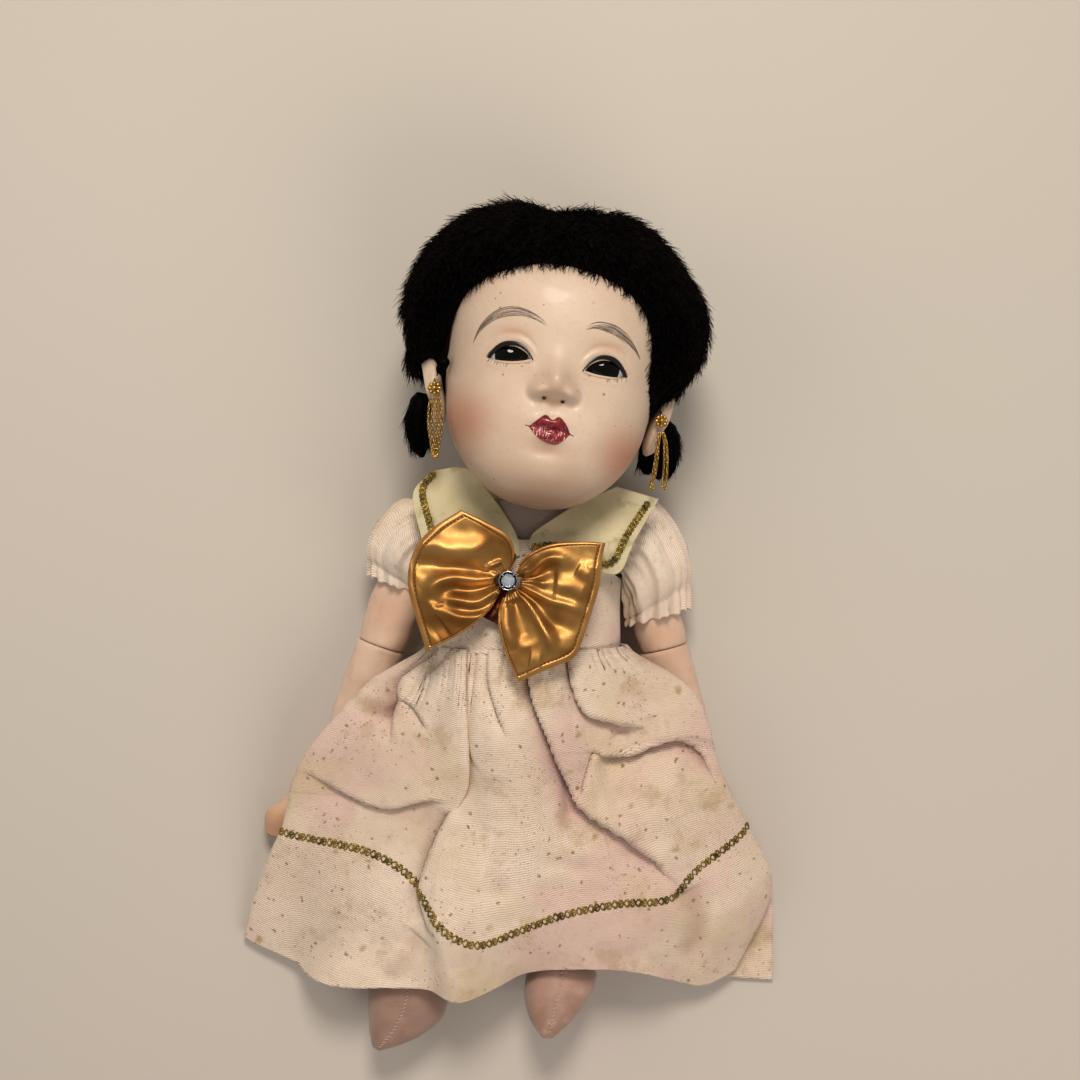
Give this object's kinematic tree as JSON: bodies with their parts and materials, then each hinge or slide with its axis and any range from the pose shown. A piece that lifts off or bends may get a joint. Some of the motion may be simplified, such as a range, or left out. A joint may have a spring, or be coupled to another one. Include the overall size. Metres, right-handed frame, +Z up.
{
  "type": "ichimatsu doll",
  "caption": "Play doll lying on its back: moulded head with glass eyes and short black wig, stuffed cloth body and limbs, cream puff-sleeved dress with satin bow, sewn bootees.",
  "frame": {"origin": "centre of the flat back face of the left bodice back panel's resting plane, under the middle of the chest", "axes": "+Z up out of the chest as the doll lies on its back, +Y to the head, +X to the doll's left"},
  "size_m": [0.1697, 0.2596, 0.0803],
  "materials": {
    "painted_skin": "glossy painted shell-white lacquer with pink cheeks",
    "eye_glass": "polished dark glass",
    "black_hair": "soft black fibre",
    "gold_metal": "bright fine chain",
    "limb_cloth": "plain stuffed cotton",
    "neck_wood": "bare turned wood",
    "mauve_check_cloth": "fine woven check",
    "dress_cloth": "fine ribbed cotton with age spots",
    "plated_metal": "plated",
    "olive_cloth": "thin faded cotton",
    "gold_braid": "tarnished metal thread",
    "copper_satin": "lustrous satin",
    "brown_ribbon": "dark satin",
    "clear_stone": "cut clear stone",
    "bootee_cloth": "worn glossy silk"
  },
  "bodies": {
    "torso": {"torso_body": "limb_cloth", "neck_plug": "neck_wood", "undershirt": "mauve_check_cloth", "bodice_front": "dress_cloth", "bodice_back_left": "dress_cloth", "bodice_back_right": "dress_cloth", "upper_back_stud": "plated_metal", "lower_back_stud": "plated_metal", "collar_right": "olive_cloth", "collar_left": "olive_cloth", "collar_trim_right": "gold_braid", "collar_trim_left": "gold_braid", "bow_right_loop": "copper_satin", "bow_left_loop": "copper_satin", "bow_under_ribbon": "brown_ribbon", "rhinestone_cup": "plated_metal", "rhinestone": "clear_stone"},
    "head": {"head": "painted_skin", "left_eye": "eye_glass", "right_eye": "eye_glass", "wig": "black_hair", "right_ear_lock": "black_hair", "right_nape_lock": "black_hair", "left_nape_lock": "black_hair"},
    "right_earring": {"right_earring_cap": "gold_metal", "right_earring_chain": "gold_metal"},
    "left_earring": {"left_earring_cap": "gold_metal", "left_earring_chain": "gold_metal"},
    "right_arm": {"right_upper_arm": "limb_cloth", "right_forearm": "limb_cloth", "right_sleeve": "dress_cloth"},
    "left_arm": {"left_upper_arm": "limb_cloth", "left_forearm": "limb_cloth", "left_sleeve": "dress_cloth"},
    "lower_body": {"pelvis": "limb_cloth", "skirt_front": "dress_cloth", "skirt_back": "dress_cloth", "skirt_braid": "gold_braid"},
    "right_leg": {"right_leg": "limb_cloth", "right_bootee": "bootee_cloth"},
    "left_leg": {"left_leg": "limb_cloth", "left_bootee": "bootee_cloth"}
  },
  "joints": [
    {"name": "head_turn", "type": "hinge", "parent": "torso", "child": "head", "pos_m": [0.0055, 0.0305, 0.029], "axis": [0, 1, 0], "range_deg": [-12, 12]},
    {"name": "right_arm_swing", "type": "hinge", "parent": "torso", "child": "right_arm", "pos_m": [-0.0347, 0.014, 0.02], "axis": [0, 0, -1], "range_deg": [0, 75], "deforming": ["right_sleeve"]},
    {"name": "left_arm_swing", "type": "hinge", "parent": "torso", "child": "left_arm", "pos_m": [0.0347, 0.014, 0.02], "axis": [0, 0, 1], "range_deg": [0, 75], "deforming": ["left_sleeve"]},
    {"name": "hip_fold", "type": "hinge", "parent": "torso", "child": "lower_body", "pos_m": [0, -0.0303, 0.038], "axis": [-1, 0, 0], "range_deg": [0, 70], "deforming": ["skirt_front", "skirt_back", "skirt_braid"]},
    {"name": "right_leg_spread", "type": "hinge", "parent": "lower_body", "child": "right_leg", "pos_m": [-0.0135, -0.0629, 0.013], "axis": [0, 0, -1], "range_deg": [-12, 12]},
    {"name": "left_leg_spread", "type": "hinge", "parent": "lower_body", "child": "left_leg", "pos_m": [0.0135, -0.0629, 0.013], "axis": [0, 0, 1], "range_deg": [-3, 20]},
    {"name": "right_earring_swing", "type": "hinge", "parent": "head", "child": "right_earring", "pos_m": [-0.0268, 0.0593, 0.0544], "axis": [-1, 0, 0], "range_deg": [0, 40]},
    {"name": "left_earring_swing", "type": "hinge", "parent": "head", "child": "left_earring", "pos_m": [0.0397, 0.0499, 0.0509], "axis": [-1, 0, 0], "range_deg": [0, 40]}
  ]
}
